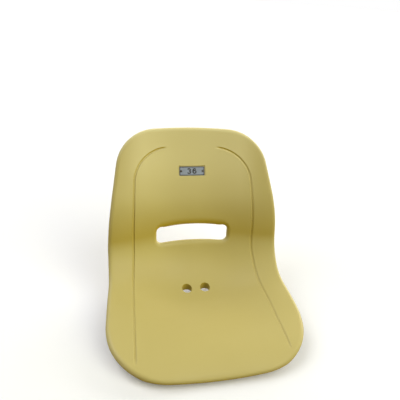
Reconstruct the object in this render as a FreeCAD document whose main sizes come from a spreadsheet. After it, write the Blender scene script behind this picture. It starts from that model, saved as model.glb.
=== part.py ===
import FreeCAD, Part
import math
import os

# Stadium seat: one double-skinned moulded bucket, held by two bolts, with a riveted number plate.
# The profile frame has its origin at the front edge of the seat's centre line, +Y to the back, +Z up.
# A place on the top skin is given by run, measured along the centre profile, and by x across it.

Vector = FreeCAD.Vector
doc = FreeCAD.newDocument("StadiumSeat")

sheet = doc.addObject("Spreadsheet::Sheet", "Dimensions")
dimensions = [
    ("lip_radius", 30.0),
    ("lip_start_angle", 65.0),
    ("crown_radius", 170.0),
    ("crown_start_angle", 25.5),
    ("pan_angle", -4.5),
    ("pan_length", 104.0),
    ("bend_radius", 126.0),
    ("bend_end_angle", 83.0),
    ("lumbar_radius", 258.0),
    ("back_angle", 63.0),
    ("profile_length", 660.0),
    ("dish_half_width", 215.0),
    ("dish_power", 1.4),
    ("panel_thickness", 18.0),
    ("front_bow_radius", 1000.0),
    ("front_bow_angle", 6.0),
    ("front_corner_x", 224.5),
    ("front_corner_radius", 120.0),
    ("waist_x", 204.0),
    ("waist_low_run", 271.0),
    ("waist_high_run", 424.5),
    ("waist_low_radius", 500.0),
    ("waist_high_radius", 600.0),
    ("top_corner_x", 168.5),
    ("top_corner_radius", 101.0),
    ("top_bow_radius", 1000.0),
    ("top_bow_angle", 5.0),
    ("slot_half_length", 95.5),
    ("slot_low_run", 369.5),
    ("slot_high_run", 435.5),
    ("slot_low_bow", 950.0),
    ("slot_high_bow", 620.0),
    ("slot_low_corner", 23.0),
    ("slot_high_corner", 27.0),
    ("slot_edge_reach", 11.5),
    ("slot_end_reach", 8.5),
    ("groove_width", 4.0),
    ("groove_depth", 2.0),
    ("groove_start_x", 160.0),
    ("groove_start_run", 52.0),
    ("groove_back_x", 145.0),
    ("groove_back_low_run", 352.0),
    ("groove_back_high_run", 432.0),
    ("groove_knee_x", 141.0),
    ("groove_knee_run", 522.0),
    ("groove_arc_radius", 88.0),
    ("groove_arc_angle", 84.0),
    ("bolt_run", 259.3),
    ("bolt_pitch", 44.0),
    ("bolt_hole_radius", 12.0),
    ("bolt_pad_thickness", 13.0),
    ("bolt_pad_width", 112.0),
    ("bolt_pad_length", 52.0),
    ("bolt_pad_corner", 8.0),
    ("plate_run", 554.0),
    ("plate_width", 61.6),
    ("plate_height", 21.8),
    ("plate_corner", 1.5),
    ("plate_thickness", 1.0),
    ("plate_recess_depth", 1.6),
    ("plate_recess_gap", 0.6),
    ("rivet_pitch", 53.0),
    ("rivet_shank_radius", 1.6),
    ("rivet_gap", 0.05),
    ("rivet_head_radius", 2.9),
    ("rivet_head_height", 1.1),
    ("rivet_crown_radius", 1.6),
    ("rivet_length", 8.0),
]
for row, (alias, value) in enumerate(dimensions, start=1):
    sheet.set("A%d" % row, alias)
    sheet.set("B%d" % row, str(value))
    sheet.setAlias("B%d" % row, alias)
doc.recompute()


def size(alias):
    return float(sheet.get(alias))


# Centre profile: five tangent runs, a lip, a crown, a flat pan, the bend to the back and the lumbar
# curve, with a straight stretch up to the top edge.
def profileRuns():
    def arc(radius, start, end, steps):
        return (math.radians(abs(end - start)) * radius, start, end, steps)

    pan = size("pan_angle")
    runs = [
        arc(size("lip_radius"), size("lip_start_angle"), size("crown_start_angle"), 3),
        arc(size("crown_radius"), size("crown_start_angle"), pan, 5),
        (size("pan_length"), pan, pan, 4),
        arc(size("bend_radius"), pan, size("bend_end_angle"), 10),
        arc(size("lumbar_radius"), size("bend_end_angle"), size("back_angle"), 5),
    ]
    left = size("profile_length") - sum(run[0] for run in runs)
    runs.append((left, size("back_angle"), size("back_angle"), 7))
    return runs


def profileCurve():
    points = [Vector(0, 0, 0)]
    lengths = [0.0]
    for length, start, end, steps in profileRuns():
        turn = math.radians(end - start) / steps
        chord = length / steps
        if turn:
            chord *= math.sin(turn / 2) / (turn / 2)
        for step in range(steps):
            angle = math.radians(start) + turn * (step + 0.5)
            points.append(points[-1] + Vector(0, math.cos(angle), math.sin(angle)) * chord)
            lengths.append(lengths[-1] + length / steps)
    curve = Part.BSplineCurve()
    curve.interpolate(Points=points, Parameters=lengths)
    return curve


# How far the side wings rise over the centre line, from the front edge to the top edge.
wing_rise = [(0, 1), (92, 5), (192, 31), (292, 44), (402, 43), (502, 42), (660, 22)]
profile = profileCurve()
rise_curve = Part.BSplineCurve()
rise_curve.interpolate(
    Points=[Vector(run, rise, 0) for run, rise in wing_rise],
    Parameters=[float(run) for run, rise in wing_rise],
)
dish_half_width = size("dish_half_width")
dish_power = size("dish_power")


def seatPoint(run, x, depth=0.0):
    # A point so far under the top skin.
    tangent = profile.tangent(run)[0]
    normal = Vector(0, -tangent.z, tangent.y)
    share = min(abs(x) / dish_half_width, 1.0)
    dish = rise_curve.value(run).y * (3 * share**2 - 2 * share**3) ** dish_power
    return profile.value(run) + Vector(x, 0, 0) + normal * (dish - depth)


# Outlines in the flat pattern: x across and run up, as a closed wire of arcs and lines.
def roundedPolygon(corners, radii):
    arcs = []
    count = len(corners)
    for index in range(count):
        corner = Vector(*corners[index])
        before = (Vector(*corners[index - 1]) - corner).normalize()
        after = (Vector(*corners[(index + 1) % count]) - corner).normalize()
        half = before.getAngle(after) / 2
        middle = (before + after).normalize()
        tangent = radii[index] / math.tan(half)
        apex = radii[index] / math.sin(half) - radii[index]
        arcs.append((corner + before * tangent, corner + middle * apex, corner + after * tangent))
    edges = []
    for index in range(count):
        edges.append(Part.Arc(*arcs[index]).toShape())
        start = arcs[index][2]
        end = arcs[(index + 1) % count][0]
        if start.distanceToPoint(end) > 1e-6:
            edges.append(Part.LineSegment(start, end).toShape())
    return Part.Wire(edges)


def symmetricOutline(low_apex, low_bow, right_corners, right_radii, high_apex, high_bow):
    left_corners = [(-x, run) for x, run in reversed(right_corners)]
    corners = [(0, low_apex)] + right_corners + [(0, high_apex)] + left_corners
    radii = [low_bow] + right_radii + [high_bow] + list(reversed(right_radii))
    return roundedPolygon(corners, radii)


def bowApex(run, radius, angle):
    # The vertex whose rounded corner passes through run on the centre line.
    return run + radius * (1 / math.cos(angle) - 1)


def seatOutline():
    front_angle = math.radians(size("front_bow_angle"))
    top_angle = math.radians(size("top_bow_angle"))
    front = bowApex(0, -size("front_bow_radius"), front_angle)
    top = bowApex(size("profile_length"), size("top_bow_radius"), top_angle)
    front_x = size("front_corner_x")
    top_x = size("top_corner_x")
    corners = [
        (front_x, front + front_x * math.tan(front_angle)),
        (size("waist_x"), size("waist_low_run")),
        (size("waist_x"), size("waist_high_run")),
        (top_x, top - top_x * math.tan(top_angle)),
    ]
    radii = [
        size("front_corner_radius"),
        size("waist_low_radius"),
        size("waist_high_radius"),
        size("top_corner_radius"),
    ]
    return symmetricOutline(front, size("front_bow_radius"), corners, radii, top, size("top_bow_radius"))


def slotOutline():
    half = size("slot_half_length")
    low_bow = size("slot_low_bow")
    high_bow = size("slot_high_bow")
    bow_half = 60.0
    low_angle = math.asin(bow_half / low_bow)
    high_angle = math.asin(bow_half / high_bow)
    low = bowApex(size("slot_low_run"), low_bow, low_angle)
    high = bowApex(size("slot_high_run"), high_bow, high_angle)
    corners = [(half, low - half * math.tan(low_angle)), (half, high - half * math.tan(high_angle))]
    radii = [size("slot_low_corner"), size("slot_high_corner")]
    return symmetricOutline(low, low_bow, corners, radii, high, high_bow)


slot_outline = slotOutline()
slot_face = Part.Face(slot_outline)
slot_centre = Vector(0, (size("slot_low_run") + size("slot_high_run")) / 2, 0)


def outwardNormal(tangent, point):
    normal = Vector(tangent.y, -tangent.x, 0).normalize()
    return normal if normal.dot(point - slot_centre) > 0 else normal * -1


def halfStations(outline):
    # Points with their outward normals, from the front of the centre line round +X to its top, closer
    # together where the outline bends.
    spacing = 45.0
    turn = 15.0
    right = outline.common(Part.makeBox(1000, 2000, 2, Vector(0, -1000, -1)))
    edges = list(right.Edges)
    here = min((v.Point for v in right.Vertexes if abs(v.Point.x) < 1e-4), key=lambda p: p.y)
    stations = []
    while edges:
        edge = min(edges, key=lambda e: min(v.Point.distanceToPoint(here) for v in e.Vertexes))
        edges.remove(edge)
        first, last = edge.ParameterRange
        if edge.valueAt(last).distanceToPoint(here) < edge.valueAt(first).distanceToPoint(here):
            first, last = last, first
        bend = edge.Length / edge.Curve.Radius if hasattr(edge.Curve, "Radius") else 0
        steps = max(1, math.ceil(max(edge.Length / spacing, math.degrees(bend) / turn)))
        for step in range(steps):
            parameter = first + (last - first) * step / steps
            point = edge.valueAt(parameter)
            stations.append((point, outwardNormal(edge.tangentAt(parameter), point)))
        here = edge.valueAt(last)
    stations.append((here, Vector(0, 1, 0)))
    return stations


def slotHit(point):
    # Where the straight line from the slot's centre to a rim point leaves the slot.
    reach = (point - slot_centre).normalize() * 300
    ray = Part.makeLine(slot_centre, slot_centre + reach).common(slot_face)
    hit = max((v.Point for v in ray.Vertexes), key=lambda p: p.distanceToPoint(slot_centre))
    edge = min(slot_outline.Edges, key=lambda e: e.distToShape(Part.Vertex(hit))[0])
    tangent = edge.tangentAt(edge.Curve.parameter(hit))
    return hit, outwardNormal(tangent, hit) * -1


def throughPoints(points):
    curve = Part.BSplineCurve()
    curve.interpolate(Points=points)
    return curve.toShape()


def panelSection(rim, rim_normal, slot, slot_normal, side):
    # One closed section of the panel, from the rim to the slot: top skin, slot roll, underside, rim.
    # The roll into the slot is wider along its long edges than at its ends.
    skin_points = 9
    roll_points = 5
    half = size("panel_thickness") / 2

    def at(place, depth):
        return seatPoint(place.y, place.x * side, depth)

    shares = [index / (skin_points - 1) for index in range(skin_points)]
    angles = [math.pi * index / (roll_points - 1) for index in range(roll_points)]
    top = [at(rim + (slot - rim) * share, 0) for share in shares]
    under = [at(slot + (rim - slot) * share, 2 * half) for share in shares]
    end_reach = size("slot_end_reach")
    reach = end_reach + (size("slot_edge_reach") - end_reach) * slot_normal.y**2
    inner = [at(slot + slot_normal * (reach * math.sin(a)), half - half * math.cos(a)) for a in angles]
    outer = [at(rim + rim_normal * (half * math.sin(a)), half + half * math.cos(a)) for a in angles]
    return Part.Wire([throughPoints(points) for points in (top, inner, under, outer)])


def panelSolid():
    rim = seatOutline().makeOffset2D(-size("panel_thickness") / 2)
    half = halfStations(rim)
    loop = [(place, normal, 1) for place, normal in half]
    loop += [(place, normal, -1) for place, normal in half[-2:0:-1]]
    sections = []
    for place, normal, side in loop:
        slot, slot_normal = slotHit(place)
        sections.append(panelSection(place, normal, slot, slot_normal, side))
    return Part.makeLoft(sections, True, True, True)


bolt_point = seatPoint(size("bolt_run"), 0)
pad_height = bolt_point.z - size("bolt_pad_thickness")
# The part's origin: midway between the two bolts, on the face that rests on the bracket.
to_origin = Vector(0, -bolt_point.y, -pad_height)

blank = doc.addObject("Part::Feature", "PanelBlank")
blank.Shape = panelSolid()
blank.Placement = FreeCAD.Placement(to_origin, FreeCAD.Rotation())


# Decorative groove on each side of the pan and back: a shallow V run along the wing.
def groovePath():
    back_x = size("groove_back_x")
    knee_x = size("groove_knee_x")
    knee_run = size("groove_knee_run")
    arc_radius = size("groove_arc_radius")
    centre_x = knee_x - arc_radius
    end_angle = math.radians(size("groove_arc_angle"))
    points = [
        (size("groove_start_x"), size("groove_start_run")),
        (back_x, size("groove_back_low_run")),
        (back_x, size("groove_back_high_run")),
        (knee_x, knee_run),
    ]
    path = []
    spacing = 18.0
    for start, end in zip(points, points[1:]):
        steps = round(math.dist(start, end) / spacing)
        for step in range(steps):
            share = step / steps
            x = start[0] + (end[0] - start[0]) * share
            path.append((x, start[1] + (end[1] - start[1]) * share))
    arc_steps = 8
    for step in range(arc_steps + 1):
        angle = end_angle * step / arc_steps
        path.append((centre_x + arc_radius * math.cos(angle), knee_run + arc_radius * math.sin(angle)))
    return path


def grooveCutter(side):
    path = groovePath()
    proud = 1.0
    depth = size("groove_depth")
    half = size("groove_width") / 2 * (depth + proud) / depth
    end_share = 0.35
    sections = []
    for index, (x, run) in enumerate(path):
        before = path[max(index - 1, 0)]
        after = path[min(index + 1, len(path) - 1)]
        along = Vector(after[0] - before[0], after[1] - before[1], 0).normalize()
        at_end = index in (0, len(path) - 1)
        share = end_share if at_end else 1.0
        ring = []
        for across, level in ((-half, -proud), (half, -proud), (0, depth * share)):
            place_x = x + along.y * across * share
            ring.append(seatPoint(run - along.x * across * share, place_x * side, level))
        ring.append(ring[0])
        sections.append(Part.makePolygon(ring))
    return Part.makeLoft(sections, True, True)


grooves = []
for name, side in (("RightGroove", 1), ("LeftGroove", -1)):
    cutter = doc.addObject("Part::Feature", name)
    cutter.Shape = grooveCutter(side)
    cutter.Placement = FreeCAD.Placement(to_origin, FreeCAD.Rotation())
    grooves.append(cutter)

# Flat pad for the bracket, sunk in the underside, and the two bolt holes through it.
through = 30.0
pad_block = doc.addObject("Part::Box", "PadBlock")
pad_block.setExpression("Length", "Dimensions.bolt_pad_width")
pad_block.setExpression("Width", "Dimensions.bolt_pad_length")
pad_block.Height = through
pad_block.setExpression("Placement.Base.x", "-Dimensions.bolt_pad_width / 2")
pad_block.setExpression("Placement.Base.y", "-Dimensions.bolt_pad_length / 2")
pad_block.Placement.Base.z = -through
pad_recess = doc.addObject("Part::Fillet", "PadRecess")
pad_recess.Base = pad_block
corner = size("bolt_pad_corner")
doc.recompute()
upright = [
    number
    for number, edge in enumerate(pad_block.Shape.Edges, start=1)
    if abs(edge.tangentAt(edge.FirstParameter).z) > 0.9
]
pad_recess.Edges = [(number, corner, corner) for number in upright]

bolt_holes = []
for name, sign in (("RightBoltHole", ""), ("LeftBoltHole", "-")):
    hole = doc.addObject("Part::Cylinder", name)
    hole.setExpression("Radius", "Dimensions.bolt_hole_radius")
    hole.Height = 2 * through
    hole.setExpression("Placement.Base.x", sign + "Dimensions.bolt_pitch / 2")
    hole.Placement.Base.z = -through
    bolt_holes.append(hole)

# Number plate place: a shallow recess in the upper back, square to the skin there.
plate_point = seatPoint(size("plate_run"), 0) + to_origin
plate_turn = FreeCAD.Rotation(Vector(1, 0, 0), size("back_angle"))


def onPlate(x, up, out):
    return FreeCAD.Placement(plate_point + plate_turn.multVec(Vector(x, up, out)), plate_turn)


plate_recess = doc.addObject("Part::Box", "PlateRecess")
plate_recess.setExpression("Length", "Dimensions.plate_width + 2 * Dimensions.plate_recess_gap")
plate_recess.setExpression("Width", "Dimensions.plate_height + 2 * Dimensions.plate_recess_gap")
plate_recess.Height = 10
recess_x = -size("plate_width") / 2 - size("plate_recess_gap")
recess_up = -size("plate_height") / 2 - size("plate_recess_gap")
plate_recess.Placement = onPlate(recess_x, recess_up, -size("plate_recess_depth"))

rivet_holes = []
for name, sign in (("RightRivetHole", 1), ("LeftRivetHole", -1)):
    hole = doc.addObject("Part::Cylinder", name)
    hole.setExpression("Radius", "Dimensions.rivet_shank_radius + Dimensions.rivet_gap")
    hole.setExpression("Height", "Dimensions.rivet_length")
    hole_floor = size("plate_thickness") - size("plate_recess_depth") - size("rivet_length")
    hole.Placement = onPlate(sign * size("rivet_pitch") / 2, 0, hole_floor)
    rivet_holes.append(hole)

cutters = doc.addObject("Part::MultiFuse", "PlainCutters")
cutters.Shapes = [pad_recess, plate_recess] + bolt_holes + rivet_holes
plain_cut = doc.addObject("Part::Cut", "PanelWithMounts")
plain_cut.Base = blank
plain_cut.Tool = cutters
groove_tools = doc.addObject("Part::Compound", "GrooveTools")
groove_tools.Links = grooves
seat_shell = doc.addObject("Part::Cut", "SeatShell")
seat_shell.Base = plain_cut
seat_shell.Tool = groove_tools
seat_shell.Label = "seat_shell"

# Number plate: a thin rounded plate with two rivet holes, padded from its sketch.
number_plate = doc.addObject("PartDesign::Body", "NumberPlate")
number_plate.Label = "number_plate"
sketch = number_plate.newObject("Sketcher::SketchObject", "PlateOutline")
plane = next(item for item in number_plate.Origin.OriginFeatures if item.Role == "XY_Plane")
sketch.AttachmentSupport = [(plane, "")]
sketch.MapMode = "FlatFace"
half_width = size("plate_width") / 2
half_height = size("plate_height") / 2
plate_corners = [
    Vector(-half_width, -half_height),
    Vector(half_width, -half_height),
    Vector(half_width, half_height),
    Vector(-half_width, half_height),
]
for start, end in zip(plate_corners, plate_corners[1:] + plate_corners[:1]):
    sketch.addGeometry(Part.LineSegment(start, end), False)
for sign in (1, -1):
    centre = Vector(sign * size("rivet_pitch") / 2, 0, 0)
    radius = size("rivet_shank_radius") + size("rivet_gap")
    sketch.addGeometry(Part.Circle(centre, Vector(0, 0, 1), radius), False)
plate_pad = number_plate.newObject("PartDesign::Pad", "PlatePad")
plate_pad.Profile = sketch
plate_pad.setExpression("Length", "Dimensions.plate_thickness")
doc.recompute()
plate_fillet = number_plate.newObject("PartDesign::Fillet", "PlateCorners")
outer_corners = [
    "Edge%d" % number
    for number, edge in enumerate(plate_pad.Shape.Edges, start=1)
    if edge.Curve.TypeId == "Part::GeomLine" and abs(edge.tangentAt(edge.FirstParameter).z) > 0.9
]
plate_fillet.Base = (plate_pad, outer_corners)
plate_fillet.setExpression("Radius", "Dimensions.plate_corner")
number_plate.Placement = onPlate(0, 0, -size("plate_recess_depth"))

# Two dome-headed rivets: a shank pressed into the panel and a head on the plate.
plate_rivets = doc.addObject("Part::Compound", "PlateRivets")
plate_rivets.Label = "plate_rivets"
rivets = []
for name, sign in (("RightRivet", 1), ("LeftRivet", -1)):
    shank = doc.addObject("Part::Cylinder", name + "Shank")
    shank.setExpression("Radius", "Dimensions.rivet_shank_radius")
    shank.setExpression("Height", "Dimensions.rivet_length")
    head = doc.addObject("Part::Cone", name + "Head")
    head.setExpression("Radius1", "Dimensions.rivet_head_radius")
    head.setExpression("Radius2", "Dimensions.rivet_crown_radius")
    head.setExpression("Height", "Dimensions.rivet_head_height")
    plate_face = size("plate_thickness") - size("plate_recess_depth")
    x = sign * size("rivet_pitch") / 2
    shank.Placement = onPlate(x, 0, plate_face - size("rivet_length"))
    head.Placement = onPlate(x, 0, plate_face)
    rivet = doc.addObject("Part::Fuse", name)
    rivet.Base = shank
    rivet.Tool = head
    rivets.append(rivet)
plate_rivets.Links = rivets

doc.recompute()
failed = [item.Name for item in doc.Objects if "Invalid" in item.State or "Error" in item.State]
if failed:
    raise RuntimeError("objects failed: " + ", ".join(failed))

os.makedirs("parts", exist_ok=True)
for item in (seat_shell, number_plate, plate_rivets):
    shape = item.Shape
    if shape.isNull() or not shape.isValid():
        raise RuntimeError(item.Label + " has no valid shape")
    shape.exportStep("parts/%s.step" % item.Label)
    print(item.Label, len(shape.Solids), "solids", round(shape.Volume), "mm3", shape.BoundBox)
print("origin in the profile frame", to_origin * -1)
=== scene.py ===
import math
import bmesh
import bpy
from mathutils import Matrix, Vector
from mathutils.geometry import intersect_point_line

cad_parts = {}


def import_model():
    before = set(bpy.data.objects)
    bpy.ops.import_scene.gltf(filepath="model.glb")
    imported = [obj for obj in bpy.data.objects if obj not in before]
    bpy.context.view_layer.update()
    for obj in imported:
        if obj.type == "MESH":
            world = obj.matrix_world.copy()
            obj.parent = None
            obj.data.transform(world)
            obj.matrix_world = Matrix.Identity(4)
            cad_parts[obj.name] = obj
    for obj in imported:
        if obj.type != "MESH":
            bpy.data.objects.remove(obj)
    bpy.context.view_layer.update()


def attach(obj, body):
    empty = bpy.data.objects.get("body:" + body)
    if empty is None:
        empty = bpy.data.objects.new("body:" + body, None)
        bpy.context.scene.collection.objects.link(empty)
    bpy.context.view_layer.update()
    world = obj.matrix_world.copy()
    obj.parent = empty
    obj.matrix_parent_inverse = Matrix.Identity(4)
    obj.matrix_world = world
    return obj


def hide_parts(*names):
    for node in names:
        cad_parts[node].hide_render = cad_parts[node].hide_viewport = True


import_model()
scene = bpy.context.scene

# The moulded shell, in mm and degrees: x across, run up the centre line from the front edge.
panel = {
    "lipRadius": 30, "lipStart": 65, "crownRadius": 170, "crownStart": 25.5,
    "panSlope": -4.5, "panLength": 104, "bendRadius": 126, "bendEnd": 83,
    "lumbarRadius": 258, "backSlope": 63,
    "wingRise": [(0, 1), (92, 5), (192, 31), (292, 44), (402, 43), (502, 42), (660, 22)],
    "dishHalfWidth": 215, "dishPower": 1.4, "thickness": 18,
    "frontBow": (0, 880, 6), "topBow": (660, 1000, 5),  # run, radius, slope at the corner
    "frontCorner": (224.5, 133), "topCorner": (168.5, 101),  # x, radius
    "waist": [(204, 271, 500), (204, 424.5, 600)],  # x, run, radius
    "slotHalf": 95.5, "slotLow": (369.5, 950, 23), "slotHigh": (439.5, 620, 27),  # run, bow, corner
    "slotBowHalf": 60, "slotCentre": 402.5,
    "slotEndReach": 7.5, "slotEdgeReach": 11.5, "slotTopReach": 18,
    "grooveSide": [(160.6, 40, 12), (145, 352, 700), (145, 432, 700), (141, 522, 900), (137.1, 610, 88)],
    "grooveFront": (34, 1000), "grooveTop": (610.5, 3000),  # run, radius
    "grooveSection": [
        (-5.2, 0), (-3.6, -0.25), (-2.7, 0.05), (-1.7, 1.5), (-0.6, 2.4),
        (0.6, 2.4), (1.7, 1.5), (2.7, 0.05), (3.6, -0.25), (5.2, 0),
    ],
    "grooveLowEnd": 52, "grooveTopEnd": 62, "grooveFade": 7, "grooveTopRun": 560,
    "boltRun": 259.3, "boltPitch": 44, "boltRadius": 12, "boltPad": (112, 52, 8), "padThickness": 13,
    "padCutter": 30, "boltCutter": 80,
    "columns": 264, "grooveSteps": 1800, "slotSteps": 600,
    "panRows": 34, "wingRows": 9, "rimRows": 12, "slotRows": 10, "underRows": 40,
}
weld = 0.01  # mm, points nearer than this are one point


def mm(value):
    return value / 1000


def centreLine(run):
    # place (y, z) and slope of the centre profile, walked run by run
    stretches = [
        (panel["lipRadius"], panel["lipStart"], panel["crownStart"]),
        (panel["crownRadius"], panel["crownStart"], panel["panSlope"]),
        (None, panel["panSlope"], panel["panSlope"]),
        (panel["bendRadius"], panel["panSlope"], panel["bendEnd"]),
        (panel["lumbarRadius"], panel["bendEnd"], panel["backSlope"]),
        (None, panel["backSlope"], panel["backSlope"]),
    ]
    place = Vector((0, 0))
    left = run
    for index, (radius, start, end) in enumerate(stretches):
        startAngle = math.radians(start)
        heading = Vector((math.cos(startAngle), math.sin(startAngle)))
        if radius is None:
            length = panel["panLength"] if index == 2 else math.inf
            step = min(left, length)
            place = place + heading * step
            angle = startAngle
        else:
            length = radius * math.radians(abs(end - start))
            step = min(left, length)
            turn = step / radius * (1 if end > start else -1)
            angle = startAngle + turn
            chord = step if abs(turn) < 1e-9 else step * math.sin(turn / 2) / (turn / 2)
            middle = startAngle + turn / 2
            place = place + Vector((math.cos(middle), math.sin(middle))) * chord
        left -= step
        if left <= 0:
            break
    return place, angle


def smoothThrough(knots, at):
    # a cubic through the knots, with each knot's slope taken across its neighbours
    if at <= knots[0][0]:
        return knots[0][1]
    if at >= knots[-1][0]:
        return knots[-1][1]
    place = next(i for i in range(len(knots) - 1) if at <= knots[i + 1][0])

    def slope(i):
        low = knots[max(i - 1, 0)]
        high = knots[min(i + 1, len(knots) - 1)]
        return (high[1] - low[1]) / (high[0] - low[0])

    (x0, y0), (x1, y1) = knots[place], knots[place + 1]
    span = x1 - x0
    t = (at - x0) / span
    return (
        y0 * (2 * t**3 - 3 * t**2 + 1) + slope(place) * span * (t**3 - 2 * t**2 + t)
        + y1 * (3 * t**2 - 2 * t**3) + slope(place + 1) * span * (t**3 - t**2)
    )


boltPlace = centreLine(panel["boltRun"])[0]
originShift = Vector((0, -boltPlace.x, -(boltPlace.y - panel["padThickness"])))


def seatPoint(x, run, depth=0.0):
    # a point so far under the top skin, in metres, in the part's own frame
    place, angle = centreLine(run)
    share = min(abs(x) / panel["dishHalfWidth"], 1)
    rise = smoothThrough(panel["wingRise"], run) * (3 * share**2 - 2 * share**3) ** panel["dishPower"]
    normal = Vector((0, -math.sin(angle), math.cos(angle)))
    point = Vector((x, place.x, place.y)) + normal * (rise - depth) + originShift
    return point / 1000


def roundedLoop(corners, step=0.5):
    # closed outline from (x, run, radius) corners, as evenly spaced points from the first corner's middle
    dense = []
    count = len(corners)
    for index in range(count):
        x, run, radius = corners[index]
        corner = Vector((x, run))
        before = (Vector(corners[index - 1][:2]) - corner).normalized()
        after = (Vector(corners[(index + 1) % count][:2]) - corner).normalized()
        half = before.angle(after) / 2
        centre = corner + (before + after).normalized() * (radius / math.sin(half))
        start = corner + before * (radius / math.tan(half)) - centre
        turn = math.pi - 2 * half
        sense = 1 if before.cross(after) < 0 else -1
        steps = max(2, math.ceil(turn * radius / step))
        for k in range(steps + 1):
            angle = sense * turn * k / steps
            dense.append(centre + Matrix.Rotation(angle, 2) @ start)
    return dense


def bow(run, radius, slope):
    # where the straight lines beside a bowed edge would meet on the centre line
    return run + radius * (1 / math.cos(slope) - 1)


def symmetric(low, lowRadius, right, high, highRadius):
    left = [(-x, run, radius) for x, run, radius in reversed(right)]
    return roundedLoop([(0, low, lowRadius)] + right + [(0, high, highRadius)] + left)


def rimLoop():
    frontRun, frontRadius, frontSlope = panel["frontBow"]
    topRun, topRadius, topSlope = panel["topBow"]
    frontX, frontCorner = panel["frontCorner"]
    topX, topCorner = panel["topCorner"]
    front = bow(frontRun, -frontRadius, math.radians(frontSlope))
    top = bow(topRun, topRadius, math.radians(topSlope))
    right = [
        (frontX, front + frontX * math.tan(math.radians(frontSlope)), frontCorner),
        *panel["waist"],
        (topX, top - topX * math.tan(math.radians(topSlope)), topCorner),
    ]
    return insetLoop(symmetric(front, frontRadius, right, top, topRadius), panel["thickness"] / 2)


def slotLoop():
    half = panel["slotHalf"]
    lowRun, lowRadius, lowCorner = panel["slotLow"]
    highRun, highRadius, highCorner = panel["slotHigh"]
    lowSlope = math.asin(panel["slotBowHalf"] / lowRadius)
    highSlope = math.asin(panel["slotBowHalf"] / highRadius)
    low = bow(lowRun, lowRadius, lowSlope)
    high = bow(highRun, highRadius, highSlope)
    right = [
        (half, low - half * math.tan(lowSlope), lowCorner),
        (half, high - half * math.tan(highSlope), highCorner),
    ]
    return symmetric(low, lowRadius, right, high, highRadius)


def grooveLoop():
    # the two side grooves, joined across the front and the top where they have no depth
    return symmetric(*panel["grooveFront"], panel["grooveSide"], *panel["grooveTop"])


def insetLoop(points, distance):
    count = len(points)
    moved = []
    for index in range(count):
        along = points[(index + 1) % count] - points[index - 1]
        moved.append(points[index] + Vector((-along.y, along.x)).normalized() * distance)
    return moved


def evenLoop(points, count):
    # evenly spaced points with outward normals, from the front of the centre line round +X
    middle = (min(p.y for p in points) + max(p.y for p in points)) / 2
    first = next(i for i in range(len(points)) if points[i - 1].x < 0 <= points[i].x and points[i].y < middle)
    loop = points[first:] + points[:first]
    start = Vector((0, loop[0].y))
    loop = [start] + [p for p in loop if abs(p.x) > 1e-4 or p.y > middle] + [start]
    lengths = [0.0]
    for before, after in zip(loop, loop[1:]):
        lengths.append(lengths[-1] + (after - before).length)
    places = []
    index = 0
    for step in range(count):
        at = lengths[-1] * step / count
        while lengths[index + 1] < at:
            index += 1
        along = loop[index + 1] - loop[index]
        share = (at - lengths[index]) / max(along.length, 1e-9)
        places.append(loop[index] + along * share)
    return [(place, outward(places[i - 1], places[(i + 1) % count])) for i, place in enumerate(places)]


def outward(before, after):
    along = after - before
    return Vector((along.y, -along.x)).normalized()


def nearestOn(loop, point):
    # the nearest place of an evenly spaced loop, between its points, with its outward normal
    index = min(range(len(loop)), key=lambda i: (loop[i][0] - point).length_squared)
    best = None
    for start in (index - 1, index):
        a = loop[start % len(loop)][0]
        b = loop[(start + 1) % len(loop)][0]
        place, share = intersect_point_line(point, a, b)
        share = min(max(share, 0), 1)
        place = a + (b - a) * share
        if best is None or (place - point).length < best[0]:
            best = ((place - point).length, place, outward(a, b))
    return best[1], best[2]


def towards(loop, centre, point):
    # where the line from the centre to the point crosses the loop, with the loop's outward normal
    angle = math.atan2(point.y - centre.y, point.x - centre.x)
    for index in range(len(loop)):
        a = loop[index][0] - centre
        b = loop[(index + 1) % len(loop)][0] - centre
        start = math.atan2(a.y, a.x)
        gap = (math.atan2(b.y, b.x) - start + math.pi) % (2 * math.pi) - math.pi
        into = (angle - start + math.pi) % (2 * math.pi) - math.pi
        if 0 <= into < gap:
            share = into / gap
            normal = loop[index][1].lerp(loop[(index + 1) % len(loop)][1], share)
            return centre + a.lerp(b, share), normal.normalized()
    return None


def grooveShare(place):
    # full depth along each side groove, fading to nothing at its two ends
    fade = panel["grooveFade"]
    low = (place.y - panel["grooveLowEnd"]) / fade
    top = (abs(place.x) - panel["grooveTopEnd"]) / fade if place.y > panel["grooveTopRun"] else 1
    share = min(max(min(low, top), 0), 1)
    return share * share * (3 - 2 * share)


def panelColumns():
    rim = evenLoop(rimLoop(), panel["columns"])
    side = evenLoop(grooveLoop(), panel["grooveSteps"])
    slot = evenLoop(slotLoop(), panel["slotSteps"])
    centre = Vector((0, panel["slotCentre"]))
    columns = []
    for place, normal in rim:
        sidePlace, sideNormal = nearestOn(side, place)
        slotPlace, slotNormal = towards(slot, centre, sidePlace)
        columns.append((place, normal, sidePlace, sideNormal, slotPlace, slotNormal))
    return columns


def slotReach(normal):
    # the roll into the slot is wider along its long sides than at its ends, and widest along the top
    edge = panel["slotTopReach"] if normal.y > 0 else panel["slotEdgeReach"]
    return panel["slotEndReach"] + (edge - panel["slotEndReach"]) * normal.y**2


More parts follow.
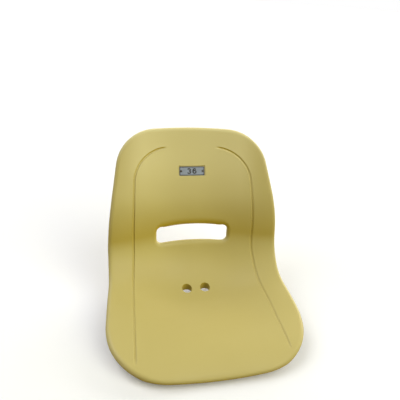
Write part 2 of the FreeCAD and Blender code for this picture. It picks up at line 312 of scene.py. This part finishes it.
def panelRows():
    # each row as a function from a column to (flat place, depth under the top skin)
    half = panel["thickness"] / 2
    lip = panel["grooveSection"][-1][0]
    rows = []

    def slotRow(angle):
        return lambda c: (c[4] - c[5] * (slotReach(c[5]) * math.sin(angle)), half + half * math.cos(angle))

    def panRow(share):
        return lambda c: (c[4].lerp(c[2] - c[3] * lip, share), 0)

    def grooveRow(offset, depth):
        return lambda c: (c[2] + c[3] * offset, depth * grooveShare(c[2]))

    def wingRow(share):
        return lambda c: ((c[2] + c[3] * lip).lerp(c[0], share), 0)

    def rimRow(angle):
        return lambda c: (c[0] + c[1] * (half * math.sin(angle)), half - half * math.cos(angle))

    def underRow(share):
        return lambda c: (c[0].lerp(c[4], share), 2 * half)

    rows += [slotRow(math.pi * k / panel["slotRows"]) for k in range(panel["slotRows"] + 1)]
    rows += [panRow(k / panel["panRows"]) for k in range(1, panel["panRows"])]
    rows += [grooveRow(offset, depth) for offset, depth in panel["grooveSection"]]
    rows += [wingRow(k / panel["wingRows"]) for k in range(1, panel["wingRows"])]
    rows += [rimRow(math.pi * k / panel["rimRows"]) for k in range(panel["rimRows"] + 1)]
    rows += [underRow(k / panel["underRows"]) for k in range(1, panel["underRows"] + 1)]
    return rows


def panelMesh():
    columns = panelColumns()
    bm = bmesh.new()
    number = bm.verts.layers.int.new("column")
    ring = bmesh.ops.create_circle(bm, segments=len(columns), radius=1)["verts"]
    for index, vert in enumerate(ring):
        vert[number] = index
    edges = list(bm.edges)
    rows = panelRows()
    for level, row in enumerate(rows):
        if level:
            made = bmesh.ops.extrude_edge_only(bm, edges=edges)["geom"]
            ring = [item for item in made if isinstance(item, bmesh.types.BMVert)]
            fresh = set(ring)
            edges = [
                item for item in made
                if isinstance(item, bmesh.types.BMEdge) and item.verts[0] in fresh and item.verts[1] in fresh
            ]
        for vert in ring:
            place, depth = row(columns[vert[number]])
            vert.co = seatPoint(place.x, place.y, depth)
    bmesh.ops.remove_doubles(bm, verts=bm.verts, dist=mm(weld))
    bmesh.ops.recalc_face_normals(bm, faces=bm.faces)
    for face in bm.faces:
        face.smooth = True
    mesh = bpy.data.meshes.new("seatPanel")
    bm.to_mesh(mesh)
    bm.free()
    return mesh


def addPiece(name, mesh):
    piece = bpy.data.objects.new(name, mesh)
    scene.collection.objects.link(piece)
    return piece


def cutFrom(piece, cutters):
    # takes the cutters' solids out of the piece, then removes them
    for cutter in cutters:
        cut = piece.modifiers.new("cut", "BOOLEAN")
        cut.operation = "DIFFERENCE"
        cut.solver = "EXACT"
        cut.object = cutter
        bpy.context.view_layer.update()
        mesh = bpy.data.meshes.new_from_object(piece.evaluated_get(bpy.context.evaluated_depsgraph_get()))
        piece.modifiers.clear()
        piece.data = mesh
        bpy.data.objects.remove(cutter)


def roundedBlock(width, length, height, corner, steps=6):
    # an upright block with rounded corners, standing on the XY plane, in metres
    bm = bmesh.new()
    bmesh.ops.create_cube(bm, size=1)
    bmesh.ops.scale(bm, vec=(width, length, height), verts=bm.verts)
    bmesh.ops.translate(bm, vec=(0, 0, height / 2), verts=bm.verts)
    upright = [e for e in bm.edges if abs(e.verts[0].co.z - e.verts[1].co.z) > height / 2]
    bmesh.ops.bevel(
        bm, geom=upright, offset=corner, segments=steps, profile=0.5, affect="EDGES", material=-1
    )
    return bm


def roundRod(radius, height, sides=64):
    bm = bmesh.new()
    bmesh.ops.create_cone(
        bm, cap_ends=True, segments=sides, radius1=radius, radius2=radius, depth=height
    )
    return bm


def placed(bm, name, matrix):
    bmesh.ops.transform(bm, matrix=matrix, verts=bm.verts)
    mesh = bpy.data.meshes.new(name)
    bm.to_mesh(mesh)
    bm.free()
    return addPiece(name, mesh)


plate = {
    "run": 554, "width": 61.6, "height": 21.8, "thickness": 1, "corner": 1.5, "edgeRound": 0.2,
    "recess": 1.6, "gap": 0.6, "chamfer": 1, "proud": 2,
}


def plateFrame(x=0, up=0, out=0):
    # axes of the number plate: x across, y up the back, z out of the skin
    centre = seatPoint(0, plate["run"])
    turn = Matrix.Rotation(math.radians(panel["backSlope"]), 4, "X")
    return Matrix.Translation(centre) @ turn @ Matrix.Translation(Vector((x, up, out)) / 1000)


def plateCutter():
    # the plate's recess: upright walls, then a chamfer out to the skin
    width = mm(plate["width"] + 2 * plate["gap"])
    height = mm(plate["height"] + 2 * plate["gap"])
    bm = roundedBlock(width, height, mm(plate["recess"] - plate["chamfer"]), mm(plate["corner"]))
    lid = max(bm.faces, key=lambda face: face.calc_center_median().z)
    flare = bmesh.ops.extrude_face_region(bm, geom=[lid])["geom"]
    spread = plate["chamfer"] + plate["proud"]
    ring = [item for item in flare if isinstance(item, bmesh.types.BMVert)]
    bmesh.ops.delete(bm, geom=[lid], context="FACES_ONLY")
    grow = (1 + 2 * mm(spread) / width, 1 + 2 * mm(spread) / height, 1)
    bmesh.ops.scale(bm, vec=grow, verts=ring)
    bmesh.ops.translate(bm, vec=(0, 0, mm(spread)), verts=ring)
    return placed(bm, "plateRecess", plateFrame(out=-plate["recess"]))


def mountCutters():
    width, length, corner = panel["boltPad"]
    block = roundedBlock(mm(width), mm(length), mm(panel["padCutter"]), mm(corner))
    cutters = [placed(block, "padBlock", Matrix.Translation((0, 0, -mm(panel["padCutter"]))))]
    for side in (1, -1):
        place = Matrix.Translation((side * mm(panel["boltPitch"]) / 2, 0, 0))
        rod = roundRod(mm(panel["boltRadius"]), mm(panel["boltCutter"]))
        cutters.append(placed(rod, "boltHole", place))
    cutters.append(plateCutter())
    return cutters


def sharpen(mesh, degrees=38):
    # smooth shading everywhere but over real edges
    bm = bmesh.new()
    bm.from_mesh(mesh)
    bmesh.ops.dissolve_degenerate(bm, edges=bm.edges, dist=mm(weld))
    for face in bm.faces:
        face.smooth = True
    for edge in bm.edges:
        edge.smooth = len(edge.link_faces) == 2 and edge.calc_face_angle(0) < math.radians(degrees)
    bm.to_mesh(mesh)
    bm.free()


shell = addPiece("shellSkin", panelMesh())
cutFrom(shell, mountCutters())
sharpen(shell.data)
print("shell faces", len(shell.data.polygons))


def placeCamera():
    # the photograph's viewpoint, in mm and degrees in the part's frame
    view = {
        "place": (-210.57, -782.29, 688.72), "yaw": 14.38, "pitch": 28.29, "roll": 5.25,
        "focal": 430, "pictureWidth": 400, "sensor": 36,
    }
    yaw, pitch, roll = (math.radians(view[k]) for k in ("yaw", "pitch", "roll"))
    level = math.cos(pitch)
    forward = Vector((math.sin(yaw) * level, math.cos(yaw) * level, -math.sin(pitch)))
    right = Vector((math.cos(yaw), -math.sin(yaw), 0))
    up = right.cross(forward)
    across = right * math.cos(roll) + up * math.sin(roll)
    upward = up * math.cos(roll) - right * math.sin(roll)
    data = bpy.data.cameras.new("photoCamera")
    data.sensor_width = view["sensor"]
    data.lens = data.sensor_width * view["focal"] / view["pictureWidth"]
    camera = bpy.data.objects.new("photoCamera", data)
    scene.collection.objects.link(camera)
    turned = Matrix((across, upward, -forward)).transposed().to_4x4()
    camera.matrix_world = Matrix.Translation(Vector(view["place"]) / 1000) @ turned
    scene.camera = camera


placeCamera()


def plateSheet():
    thickness = mm(plate["thickness"])
    bm = roundedBlock(mm(plate["width"]), mm(plate["height"]), thickness, mm(plate["corner"]))
    top = [edge for edge in bm.edges if min(v.co.z for v in edge.verts) > thickness / 2]
    bmesh.ops.bevel(
        bm, geom=top, offset=mm(plate["edgeRound"]), segments=2, profile=0.5, affect="EDGES", material=-1
    )
    return placed(bm, "plateSheet", plateFrame(out=-plate["recess"]))


# A plain seat number inside a thin frame. Each arc: centre, half width and height, start and end angle.
number = {
    "digits": [
        (-6.7, [((-0.4, 2.9), (3.3, 2.7), (165, -95)), ((-0.4, -2.6), (3.6, 2.9), (95, -165))]),
        (6.3, [((0, -2.2), (3.6, 3.2), (0, 360)), ((0.2, -0.2), (3.9, 5.6), (205, 42))]),
    ],
    "stroke": 3.1, "arcSteps": 28, "film": 0.08, "frameInset": 0.5, "frameWidth": 1.6,
}


def plateBorder():
    # a thin printed frame just inside the plate's edge
    width = mm(plate["width"] - 2 * number["frameInset"])
    height = mm(plate["height"] - 2 * number["frameInset"])
    film = mm(number["film"])
    bm = roundedBlock(width, height, film, mm(plate["corner"]))
    top = max(bm.faces, key=lambda face: face.calc_center_median().z)
    bmesh.ops.delete(bm, geom=[face for face in bm.faces if face != top], context="FACES")
    bmesh.ops.inset_region(
        bm, faces=[top], thickness=mm(number["frameWidth"]), use_boundary=True, use_even_offset=True
    )
    bmesh.ops.delete(bm, geom=[top], context="FACES")
    made = bmesh.ops.extrude_face_region(bm, geom=list(bm.faces))["geom"]
    raised = [item for item in made if isinstance(item, bmesh.types.BMVert)]
    bmesh.ops.translate(bm, vec=(0, 0, film), verts=raised)
    bmesh.ops.translate(bm, vec=(0, 0, -film), verts=bm.verts)
    bmesh.ops.recalc_face_normals(bm, faces=bm.faces)
    return bm


def plateNumber():
    # plain bold digits drawn as rounded strokes along arcs, then flattened to a film of print
    bm = bmesh.new()
    for digit, arcs in number["digits"]:
        for (x, y), (wide, high), (start, end) in arcs:
            line = bpy.data.curves.new("stroke", "CURVE")
            line.dimensions = "3D"
            line.bevel_depth = number["stroke"] / 2
            line.bevel_resolution = 4
            line.use_fill_caps = True
            path = line.splines.new("POLY")
            path.points.add(number["arcSteps"])
            for index, point in enumerate(path.points):
                angle = math.radians(start + (end - start) * index / number["arcSteps"])
                point.co = (x + digit + wide * math.cos(angle), y + high * math.sin(angle), 0, 1)
            stroke = addPiece("stroke", line)
            bpy.context.view_layer.update()
            drawn = stroke.evaluated_get(bpy.context.evaluated_depsgraph_get())
            bm.from_mesh(drawn.to_mesh())
            bpy.data.objects.remove(stroke)
    flat = mm(number["film"]) / number["stroke"] * 2
    bmesh.ops.scale(bm, vec=(mm(1), mm(1), flat), verts=bm.verts)
    return bm


def platePrint():
    face = plateFrame(out=plate["thickness"] - plate["recess"])
    pieces = [placed(plateBorder(), "border", face), placed(plateNumber(), "number", face)]
    bm = bmesh.new()
    for piece in pieces:
        bm.from_mesh(piece.data)
        bpy.data.objects.remove(piece)
    return placed(bm, "platePrint", Matrix.Identity(4))


rivets = {
    "pitch": 53, "steps": 40,
    "section": [
        (0, 0.8), (0.75, 0.8), (0.9, 1.1), (1.5, 1), (2.2, 0.72), (2.7, 0.35),
        (2.9, 0), (1.6, -0.1), (1.6, -7), (0, -7),
    ],
}


def plateRivets():
    # two blind rivets, each spun from its half section of radius and height over the plate
    bm = bmesh.new()
    for side in (1, -1):
        points = [bm.verts.new((mm(r), 0, mm(z))) for r, z in rivets["section"]]
        line = [bm.edges.new(pair) for pair in zip(points, points[1:])]
        bmesh.ops.spin(
            bm, geom=points + line, cent=(0, 0, 0), axis=(0, 0, 1), angle=2 * math.pi,
            steps=rivets["steps"], use_merge=True,
        )
        fresh = [v for v in bm.verts if not v.tag]
        place = plateFrame(side * rivets["pitch"] / 2, 0, plate["thickness"] - plate["recess"])
        bmesh.ops.transform(bm, matrix=place, verts=fresh)
        for vert in fresh:
            vert.tag = True
    bmesh.ops.remove_doubles(bm, verts=bm.verts, dist=mm(weld))
    bmesh.ops.recalc_face_normals(bm, faces=bm.faces)
    piece = placed(bm, "rivetHeads", Matrix.Identity(4))
    sharpen(piece.data, 50)
    return piece


sheetPiece = plateSheet()
printPiece = platePrint()
rivetPiece = plateRivets()
print("plate, print and rivets made")


def smoothShare(nodes, link, value, low, high):
    # nothing at the low value, one at the high value, eased between
    share = nodes.new("ShaderNodeMapRange")
    share.interpolation_type = "SMOOTHSTEP"
    share.inputs["From Min"].default_value = low
    share.inputs["From Max"].default_value = high
    link(value, share.inputs["Value"])
    return share.outputs["Result"]


def product(nodes, link, first, second):
    times = nodes.new("ShaderNodeMath")
    times.operation = "MULTIPLY"
    link(first, times.inputs[0])
    link(second, times.inputs[1])
    return times.outputs["Value"]


def mixed(nodes, link, share, low, high):
    # each end is a colour or another node's output
    blend = nodes.new("ShaderNodeMix")
    blend.data_type = "RGBA"
    link(share, blend.inputs["Factor"])
    for socket, end in (("A", low), ("B", high)):
        if isinstance(end, bpy.types.NodeSocket):
            link(end, blend.inputs[socket])
        else:
            blend.inputs[socket].default_value = (*end, 1)
    return blend.outputs["Result"]


def agedSurface():
    # uneven colour, gloss and height shared by the plastic, the plate, the print and the rivets
    group = bpy.data.node_groups.new("agedSurface", "ShaderNodeTree")
    colourSocket, valueSocket = "NodeSocketColor", "NodeSocketFloat"
    grey = (0.5, 0.5, 0.5, 1)
    for name, kind, value in (
        ("Colour", colourSocket, grey), ("Worn Colour", colourSocket, grey),
        ("Worn Share", valueSocket, 0.3), ("Patch Scale", valueSocket, 12),
        ("Grain Scale", valueSocket, 900), ("Roughness", valueSocket, 0.4),
        ("Roughness Spread", valueSocket, 0.1),
    ):
        socket = group.interface.new_socket(name=name, in_out="INPUT", socket_type=kind)
        socket.default_value = value
    for name, kind in (("Colour", colourSocket), ("Roughness", valueSocket), ("Height", valueSocket)):
        group.interface.new_socket(name=name, in_out="OUTPUT", socket_type=kind)
    nodes = group.nodes
    link = group.links.new
    given = nodes.new("NodeGroupInput")
    out = nodes.new("NodeGroupOutput")
    place = nodes.new("ShaderNodeTexCoord")
    patches = nodes.new("ShaderNodeTexNoise")
    patches.inputs["Detail"].default_value = 5
    patches.inputs["Roughness"].default_value = 0.6
    grain = nodes.new("ShaderNodeTexNoise")
    grain.inputs["Detail"].default_value = 2
    link(place.outputs["Object"], patches.inputs["Vector"])
    link(place.outputs["Object"], grain.inputs["Vector"])
    link(given.outputs["Patch Scale"], patches.inputs["Scale"])
    link(given.outputs["Grain Scale"], grain.inputs["Scale"])
    spread = nodes.new("ShaderNodeMapRange")
    spread.inputs["From Min"].default_value = 0.35
    spread.inputs["From Max"].default_value = 0.65
    link(patches.outputs["Fac"], spread.inputs["Value"])
    share = product(nodes, link, spread.outputs["Result"], given.outputs["Worn Share"])
    shade = mixed(nodes, link, share, given.outputs["Colour"], given.outputs["Worn Colour"])
    link(shade, out.inputs["Colour"])
    gloss = nodes.new("ShaderNodeMath")
    gloss.operation = "MULTIPLY_ADD"
    link(spread.outputs["Result"], gloss.inputs[0])
    link(given.outputs["Roughness Spread"], gloss.inputs[1])
    link(given.outputs["Roughness"], gloss.inputs[2])
    link(gloss.outputs["Value"], out.inputs["Roughness"])
    link(grain.outputs["Fac"], out.inputs["Height"])
    return group


aged = agedSurface()


def finished(name, finish):
    material = bpy.data.materials.new(name)
    material.use_nodes = True
    nodes = material.node_tree.nodes
    link = material.node_tree.links.new
    shader = nodes["Principled BSDF"]
    surface = nodes.new("ShaderNodeGroup")
    surface.node_tree = aged
    for socket, value in (
        ("Colour", (*finish["colour"], 1)), ("Worn Colour", (*finish["worn"], 1)),
        ("Worn Share", finish["wornShare"]), ("Patch Scale", finish["patchScale"]),
        ("Grain Scale", finish["grainScale"]), ("Roughness", finish["roughness"]),
        ("Roughness Spread", finish["spread"]),
    ):
        surface.inputs[socket].default_value = value
    bump = nodes.new("ShaderNodeBump")
    bump.inputs["Strength"].default_value = 0.5
    bump.inputs["Distance"].default_value = mm(finish["grainHeight"])
    link(surface.outputs["Colour"], shader.inputs["Base Color"])
    link(surface.outputs["Roughness"], shader.inputs["Roughness"])
    link(surface.outputs["Height"], bump.inputs["Height"])
    link(bump.outputs["Normal"], shader.inputs["Normal"])
    shader.inputs["Metallic"].default_value = finish["metallic"]
    return material, shader, surface


# Plastic: the upward faces, painted shade in a darker gold on the downward faces, and a painted
# highlight on the paler middle of the upper back. Both tone changes were set to match the photograph; they
# are its light and shade, not the plastic.
plastic = {
    "colour": (0.57, 0.475, 0.155), "worn": (0.55, 0.455, 0.145), "wornShare": 0.5, "metallic": 0,
    "roughness": 0.42, "spread": 0.1, "patchScale": 9, "grainScale": 1100, "grainHeight": 0.05,
    # painted shade: the darker gold that faces looking down get in place of the plastic's colour
    "paintedShadeGold": {"Colour": (0.52, 0.385, 0.03), "Worn Colour": (0.5, 0.365, 0.03)},
    "paintedShadeGoldUpTo": -0.15, "paintedShadeGoneFrom": 0.45,  # how far the face looks up, from -1 to 1
    # painted highlight: a paler colour, with the heights and the spread across where it lies, on the middle
    # of the upper back
    "paintedHighlight": (0.76, 0.665, 0.3), "paintedHighlightHeights": (150, 300), "paintedHighlightAcross": (180, 110),
}


def shellPlastic():
    material, shader, surface = finished("shellPlastic", plastic)
    nodes = material.node_tree.nodes
    link = material.node_tree.links.new
    place = nodes.new("ShaderNodeTexCoord")
    facing = nodes.new("ShaderNodeSeparateXYZ")
    link(place.outputs["Normal"], facing.inputs["Vector"])
    # painted shade: faces that look down turn darker gold, faces that look up keep the plastic's colour
    upward = smoothShare(nodes, link, facing.outputs["Z"], plastic["paintedShadeGoldUpTo"], plastic["paintedShadeGoneFrom"])
    for socket, paintedShadeGold in plastic["paintedShadeGold"].items():
        pale = tuple(surface.inputs[socket].default_value)[:3]
        link(mixed(nodes, link, upward, paintedShadeGold, pale), surface.inputs[socket])
    # painted highlight: the upward faces in the middle of the upper back turn paler
    spot = nodes.new("ShaderNodeSeparateXYZ")
    link(place.outputs["Object"], spot.inputs["Vector"])
    across = nodes.new("ShaderNodeMath")
    across.operation = "ABSOLUTE"
    link(spot.outputs["X"], across.inputs[0])
    high = smoothShare(nodes, link, spot.outputs["Z"], *map(mm, plastic["paintedHighlightHeights"]))
    middle = smoothShare(nodes, link, across.outputs["Value"], *map(mm, plastic["paintedHighlightAcross"]))
    share = product(nodes, link, product(nodes, link, high, middle), upward)
    shade = mixed(nodes, link, share, surface.outputs["Colour"], plastic["paintedHighlight"])
    link(shade, shader.inputs["Base Color"])
    shader.inputs["Specular IOR Level"].default_value = 0.5
    return material


metal = {
    "colour": (0.25, 0.29, 0.37), "worn": (0.2, 0.22, 0.28), "wornShare": 0.6, "metallic": 0.25,
    "roughness": 0.4, "spread": 0.15, "patchScale": 60, "grainScale": 2500, "grainHeight": 0.02,
}
ink = {
    "colour": (0.008, 0.008, 0.012), "worn": (0.02, 0.02, 0.024), "wornShare": 0.6, "metallic": 0,
    "roughness": 0.45, "spread": 0.1, "patchScale": 200, "grainScale": 3000, "grainHeight": 0.02,
}
dullRivet = {
    "colour": (0.09, 0.085, 0.08), "worn": (0.05, 0.045, 0.04), "wornShare": 0.7, "metallic": 0.8,
    "roughness": 0.45, "spread": 0.2, "patchScale": 300, "grainScale": 4000, "grainHeight": 0.02,
}


def seenRays(nodes, link):
    # one for camera, glossy and transmission rays, else nothing
    rays = nodes.new("ShaderNodeLightPath")
    total = None
    for name in ("Is Camera Ray", "Is Glossy Ray", "Is Transmission Ray"):
        if total is None:
            total = rays.outputs[name]
            continue
        either = nodes.new("ShaderNodeMath")
        either.operation = "MAXIMUM"
        link(total, either.inputs[0])
        link(rays.outputs[name], either.inputs[1])
        total = either.outputs["Value"]
    return total


# The floor is seen as floorTint but sends back brown floorBounce; the lowFront lamp is yellow.
studio = {
    "floorLevel": -24, "floorSize": 12, "floorTint": (0.95, 0.95, 0.95),
    "floorBounce": (0.16, 0.09, 0.05), "floorGlow": 0.1, "softness": 50,
    "lamps": {
        "overhead": (0, 88, 0.08, (1, 1, 1)),
        "frontRight": (45, 50, 1.12, (1, 1, 1)),
        "left": (252, 50, 1.6, (1, 1, 1)),
        "lowFront": (45, 15, 1.03, (1, 0.97, 0.35)),
        "lowRight": (122, 15, 2.05, (1, 1, 1)),
        "lowBack": (180, 15, 1.05, (1, 1, 1)),
    },
}


def floor():
    bm = bmesh.new()
    bmesh.ops.create_grid(bm, x_segments=1, y_segments=1, size=studio["floorSize"])
    piece = placed(bm, "studioFloor", Matrix.Translation((0, 0, mm(studio["floorLevel"]))))
    material = bpy.data.materials.new("studioFloor")
    material.use_nodes = True
    nodes = material.node_tree.nodes
    link = material.node_tree.links.new
    seen = seenRays(nodes, link)
    shader = nodes["Principled BSDF"]
    tint = mixed(nodes, link, seen, studio["floorBounce"], studio["floorTint"])
    link(tint, shader.inputs["Base Color"])
    shader.inputs["Roughness"].default_value = 0.9
    shader.inputs["Specular IOR Level"].default_value = 0
    shader.inputs["Emission Strength"].default_value = studio["floorGlow"]
    link(mixed(nodes, link, seen, (0, 0, 0), (1, 1, 1)), shader.inputs["Emission Color"])
    piece.data.materials.append(material)


def world():
    # white to look at, but all the light comes from the lamps
    sky = bpy.data.worlds.new("studio")
    scene.world = sky
    sky.use_nodes = True
    nodes = sky.node_tree.nodes
    link = sky.node_tree.links.new
    nodes["Background"].inputs["Color"].default_value = (1, 1, 1, 1)
    link(seenRays(nodes, link), nodes["Background"].inputs["Strength"])


def lamps():
    # wide soft lamps, each by azimuth from the front, elevation, strength and colour
    for name, (azimuth, elevation, strength, colour) in studio["lamps"].items():
        data = bpy.data.lights.new(name, "SUN")
        data.energy = strength
        data.color = colour
        data.angle = math.radians(studio["softness"])
        lamp = bpy.data.objects.new(name, data)
        scene.collection.objects.link(lamp)
        around = math.radians(azimuth)
        above = math.radians(elevation)
        level = math.cos(above)
        towardsLamp = Vector((math.sin(around) * level, -math.cos(around) * level, math.sin(above)))
        lamp.rotation_euler = towardsLamp.to_track_quat("Z", "Y").to_euler()


floor()
world()
lamps()
print("stage and lights set")

for piece, material, slotName, node in (
    (shell, shellPlastic(), "shell_plastic", "seat_shell"),
    (sheetPiece, finished("plateMetal", metal)[0], "plate_metal", "number_plate"),
    (printPiece, finished("printInk", ink)[0], None, None),
    (rivetPiece, finished("rivetMetal", dullRivet)[0], "rivet_metal", "plate_rivets"),
):
    piece.data.materials.clear()
    piece.data.materials.append(material)
    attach(piece, "root")
    if node:
        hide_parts(node)
print("pieces dressed")

scene.view_settings.view_transform = "Standard"
